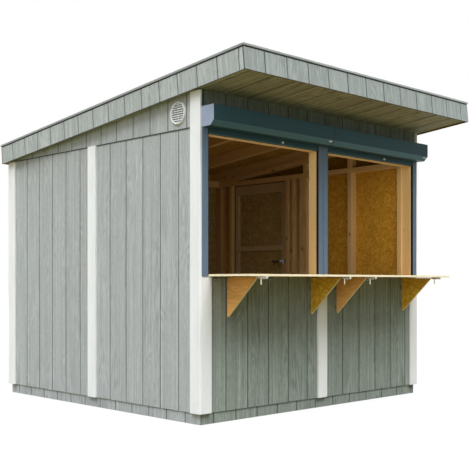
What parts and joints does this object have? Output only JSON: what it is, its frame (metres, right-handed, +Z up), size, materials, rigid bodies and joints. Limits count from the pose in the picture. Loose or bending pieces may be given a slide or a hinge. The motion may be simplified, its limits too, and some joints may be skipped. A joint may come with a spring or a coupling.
{
  "type": "market hut",
  "caption": "Timber-framed market hut with grooved siding, mono-pitch roof, serving hatches under roller shutters, folding bracket counter and a side door.",
  "frame": {"origin": "on the ground, in the middle of the wall footprint, under the centre floor bearer", "axes": "+Z up, front with the serving hatches towards -Y, +X to the right seen from the front"},
  "size_m": [2.532, 3.0979, 2.4402],
  "materials": {
    "siding": "painted embossed siding, satin",
    "fascia_siding": "painted embossed siding, satin",
    "white_trim": "white painted, satin",
    "pine": "planed softwood",
    "floor_wood": "sheathing ply",
    "ply": "oriented strand and ply, cream cut edges",
    "membrane": "mineral felt",
    "edge_metal": "light grey coated sheet",
    "shutter": "anthracite blue powder coat",
    "rail": "blue grey powder coat",
    "vent": "white moulded plastic",
    "zinc": "zinc plated",
    "handle": "brushed"
  },
  "bodies": {
    "hut": {"floor_bearers": "pine", "floor_deck": "floor_wood", "side_plinths": "siding", "end_plinths": "siding", "side_wall_studs": "pine", "side_wall_plates": "pine", "front_wall_posts": "pine", "front_wall_plates": "pine", "back_wall_studs": "pine", "back_wall_plates": "pine", "header_plate": "pine", "gable_chords": "pine", "upper_studs": "pine", "left_wall_panels": "siding", "right_wall_panels": "siding", "gable_panels": "siding", "front_wall_panels": "siding", "front_post_strips": "pine", "front_header_panel": "siding", "back_wall_panels": "siding", "rafters": "pine", "roof_deck": "floor_wood", "roof_membrane": "membrane", "side_fascias": "fascia_siding", "end_fascias": "fascia_siding", "roof_edge_trims": "edge_metal", "soffits": "fascia_siding", "left_trims": "white_trim", "right_trims": "white_trim", "end_trims": "white_trim", "gable_vents": "vent", "shutter_boxes": "shutter", "shutter_end_caps": "shutter", "guide_rails": "rail", "shutter_end_slats": "rail", "sill_boards": "ply", "counter_flaps": "ply", "counter_hinges": "zinc", "counter_bolts": "zinc", "door_jamb_hinges": "zinc"},
    "left_outer_arm": {"left_outer_bracket": "ply", "left_outer_leaf": "zinc"},
    "left_inner_arm": {"left_inner_bracket": "ply", "left_inner_leaf": "zinc"},
    "right_inner_arm": {"right_inner_bracket": "ply", "right_inner_leaf": "zinc"},
    "right_outer_arm": {"right_outer_bracket": "ply", "right_outer_leaf": "zinc"},
    "door": {"door_leaf": "siding", "door_ledges": "pine", "door_straps": "zinc", "door_handles": "handle"}
  },
  "joints": [
    {"name": "left_outer_bracket_fold", "type": "hinge", "parent": "hut", "child": "left_outer_arm", "pos_m": [-0.956, -1.2715, 0.849], "axis": [0, 0, 1], "range_deg": [0, 90]},
    {"name": "left_inner_bracket_fold", "type": "hinge", "parent": "hut", "child": "left_inner_arm", "pos_m": [-0.138, -1.2715, 0.849], "axis": [0, 0, -1], "range_deg": [0, 90]},
    {"name": "right_inner_bracket_fold", "type": "hinge", "parent": "hut", "child": "right_inner_arm", "pos_m": [0.178, -1.2715, 0.849], "axis": [0, 0, 1], "range_deg": [0, 90]},
    {"name": "right_outer_bracket_fold", "type": "hinge", "parent": "hut", "child": "right_outer_arm", "pos_m": [0.996, -1.2715, 0.849], "axis": [0, 0, -1], "range_deg": [0, 90]},
    {"name": "door_swing", "type": "hinge", "parent": "hut", "child": "door", "pos_m": [1.208, 0.97916, 1.009], "axis": [0, 0, 1], "range_deg": [0, 110]}
  ]
}
